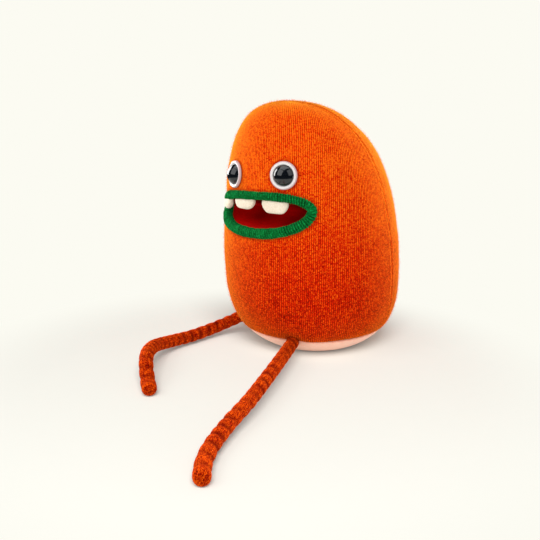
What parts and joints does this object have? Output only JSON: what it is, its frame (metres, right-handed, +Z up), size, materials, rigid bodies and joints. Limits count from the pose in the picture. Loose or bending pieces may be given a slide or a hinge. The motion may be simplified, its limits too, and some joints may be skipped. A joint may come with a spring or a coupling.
{
  "type": "plush monster",
  "caption": "Egg-shaped plush monster in felted knit with an open felt-lined mouth, felt teeth, domed safety eyes and long bendable wire-cored legs.",
  "frame": {"origin": "middle of the flat underside of the base panel, on the surface the toy sits on", "axes": "+Z up, the monster faces -Y, +X towards the monster's left side; millimetres in the source, metres in the row"},
  "size_m": [0.2249, 0.398, 0.25],
  "materials": {
    "body_knit": "felted orange-red wool-look knit, fine upright wales, fuzzy",
    "base_knit": "pale pink felted knit",
    "leg_knit": "deep orange-red knit with the rows across the leg, wrinkled",
    "lip_rib": "dark green ribbed knit, ribs across the roll",
    "mouth_felt": "dark red felt",
    "tooth_felt": "cream brushed felt",
    "bag_cloth": "plain cotton bag",
    "stuffing": "white polyester fibre",
    "cord_cotton": "cotton cord",
    "eye_plastic": "polished black",
    "rim_plastic": "glossy white",
    "washer_plastic": "plain white",
    "wire_steel": "plain annealed wire"
  },
  "bodies": {
    "torso": {"body_cover": "body_knit", "base_panel": "base_knit", "pellet_bag": "bag_cloth", "body_stuffing": "stuffing", "mouth_lining": "mouth_felt", "lip_roll": "lip_rib", "lip_cord": "cord_cotton", "tooth_right": "tooth_felt", "tooth_middle": "tooth_felt", "tooth_left": "tooth_felt", "eye_rim_right": "rim_plastic", "eye_right": "eye_plastic", "eye_washer_right": "washer_plastic", "eye_rim_left": "rim_plastic", "eye_left": "eye_plastic", "eye_washer_left": "washer_plastic", "armature_crossbar": "wire_steel", "leg_root_left": "leg_knit", "leg_root_right": "leg_knit"},
    "hip_left": {"leg_hip_left": "leg_knit", "leg_hip_wire_left": "wire_steel"},
    "thigh_left": {"leg_thigh_left": "leg_knit", "leg_thigh_wire_left": "wire_steel"},
    "shin_left": {"leg_shin_left": "leg_knit", "leg_shin_wire_left": "wire_steel"},
    "hip_right": {"leg_hip_right": "leg_knit", "leg_hip_wire_right": "wire_steel"},
    "thigh_right": {"leg_thigh_right": "leg_knit", "leg_thigh_wire_right": "wire_steel"},
    "shin_right": {"leg_shin_right": "leg_knit", "leg_shin_wire_right": "wire_steel"}
  },
  "joints": [
    {"name": "hip_swing_left", "type": "hinge", "parent": "torso", "child": "hip_left", "pos_m": [0.03021, -0.08182, 0.01873], "axis": [0, 0, 1], "range_deg": [-10, 60]},
    {"name": "hip_lift_left", "type": "hinge", "parent": "hip_left", "child": "thigh_left", "pos_m": [0.03859, -0.09997, 0.01905], "axis": [-0.9087, -0.4174, 0], "range_deg": [-60, 50]},
    {"name": "knee_bend_left", "type": "hinge", "parent": "thigh_left", "child": "shin_left", "pos_m": [0.08049, -0.20474, 0.01545], "axis": [-0.9537, -0.3009, 0], "range_deg": [-60, 60]},
    {"name": "hip_swing_right", "type": "hinge", "parent": "torso", "child": "hip_right", "pos_m": [-0.07112, -0.04623, 0.01684], "axis": [0, 0, 1], "range_deg": [-60, 10]},
    {"name": "hip_lift_right", "type": "hinge", "parent": "hip_right", "child": "thigh_right", "pos_m": [-0.07851, -0.06414, 0.01204], "axis": [-0.9543, 0.2987, 0], "range_deg": [-60, 50]},
    {"name": "knee_bend_right", "type": "hinge", "parent": "thigh_right", "child": "shin_right", "pos_m": [-0.06731, -0.17285, 0.02057], "axis": [-0.8237, -0.567, 0], "range_deg": [-60, 60]}
  ]
}
